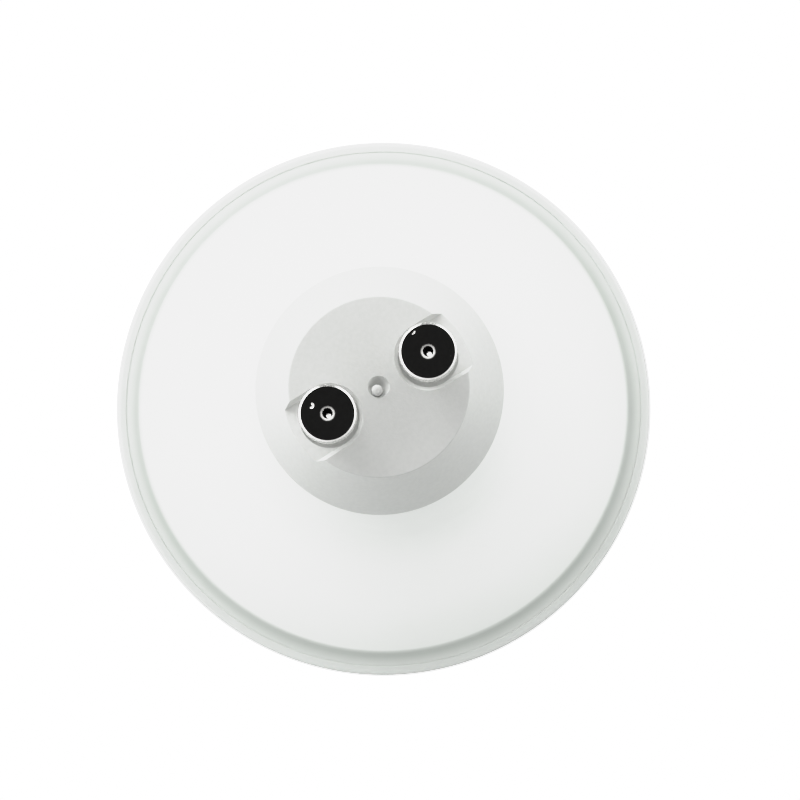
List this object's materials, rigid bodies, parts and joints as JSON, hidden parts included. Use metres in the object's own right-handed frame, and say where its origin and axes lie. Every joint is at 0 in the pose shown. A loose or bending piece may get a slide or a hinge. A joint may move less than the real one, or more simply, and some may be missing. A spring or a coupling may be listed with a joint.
{
  "type": "led reflector lamp",
  "caption": "White reflector spot lamp with a two-pin twist-lock base cap, flared plastic bowl, front ring, frosted lens, LED board, driver and radio module inside.",
  "frame": {"origin": "centre of the circle on which the front ring rests, at the lamp's lowest plane", "axes": "+Z along the lamp's axis, from the front ring to the pin ends; +X from the left pin to the right pin; +Y completes the right-handed frame"},
  "size_m": [0.05, 0.05, 0.054],
  "materials": {
    "housing_plastic": "smooth satin white plastic",
    "base_plastic": "off-white heat-proof plastic with a finely textured end face",
    "ring_plastic": "satin white plastic",
    "lens_plastic": "frosted translucent lens plastic",
    "reflector_plastic": "bright white reflective plastic",
    "pin_metal": "nickel plated, with a polished end and a few dents",
    "sink_aluminium": "drawn aluminium",
    "pad_rubber": "soft thermal pad",
    "led_mask": "white solder mask on an aluminium board",
    "led_ceramic": "moulded LED body",
    "led_phosphor": "yellow silicone phosphor",
    "screw_steel": "zinc plated",
    "solder_tin": "tinned copper and solder",
    "lead_brown": "extruded lead insulation",
    "lead_blue": "extruded lead insulation",
    "board_green": "green solder mask over glass fibre",
    "header_black": "moulded pin header",
    "capacitor_sleeve": "shrink sleeve",
    "film_box": "moulded box",
    "varistor_coat": "dipped epoxy",
    "resistor_coat": "lacquered",
    "chip_black": "moulded epoxy",
    "ferrite": "fired ferrite",
    "bobbin_nylon": "moulded nylon",
    "enamel_wire": "enamelled copper wire",
    "chip_ceramic": "fired chip parts",
    "shield_tin": "tin plated sheet",
    "antenna_gold": "gold flashed copper"
  },
  "bodies": {
    "root": {"housing": "housing_plastic", "base_cap": "base_plastic", "front_ring": "ring_plastic", "diffuser": "lens_plastic", "reflector": "reflector_plastic", "heat_sink": "sink_aluminium", "thermal_pad": "pad_rubber", "led_board": "led_mask", "white_leds": "led_ceramic", "colour_leds": "led_ceramic", "led_domes": "led_phosphor", "board_screws": "screw_steel", "contact_pin_left": "pin_metal", "contact_pin_right": "pin_metal", "lead_cores": "solder_tin", "live_lead": "lead_brown", "neutral_lead": "lead_blue", "driver_board": "board_green", "board_header": "header_black", "bulk_capacitor": "capacitor_sleeve", "output_capacitor": "capacitor_sleeve", "film_capacitor": "film_box", "varistor": "varistor_coat", "fusible_resistor": "resistor_coat", "bridge_rectifier": "chip_black", "driver_chip": "chip_black", "transformer_core": "ferrite", "transformer_bobbin": "bobbin_nylon", "transformer_winding": "enamel_wire", "chip_parts": "chip_ceramic", "radio_board": "board_green", "radio_shield": "shield_tin", "antenna": "antenna_gold"}
  },
  "joints": []
}
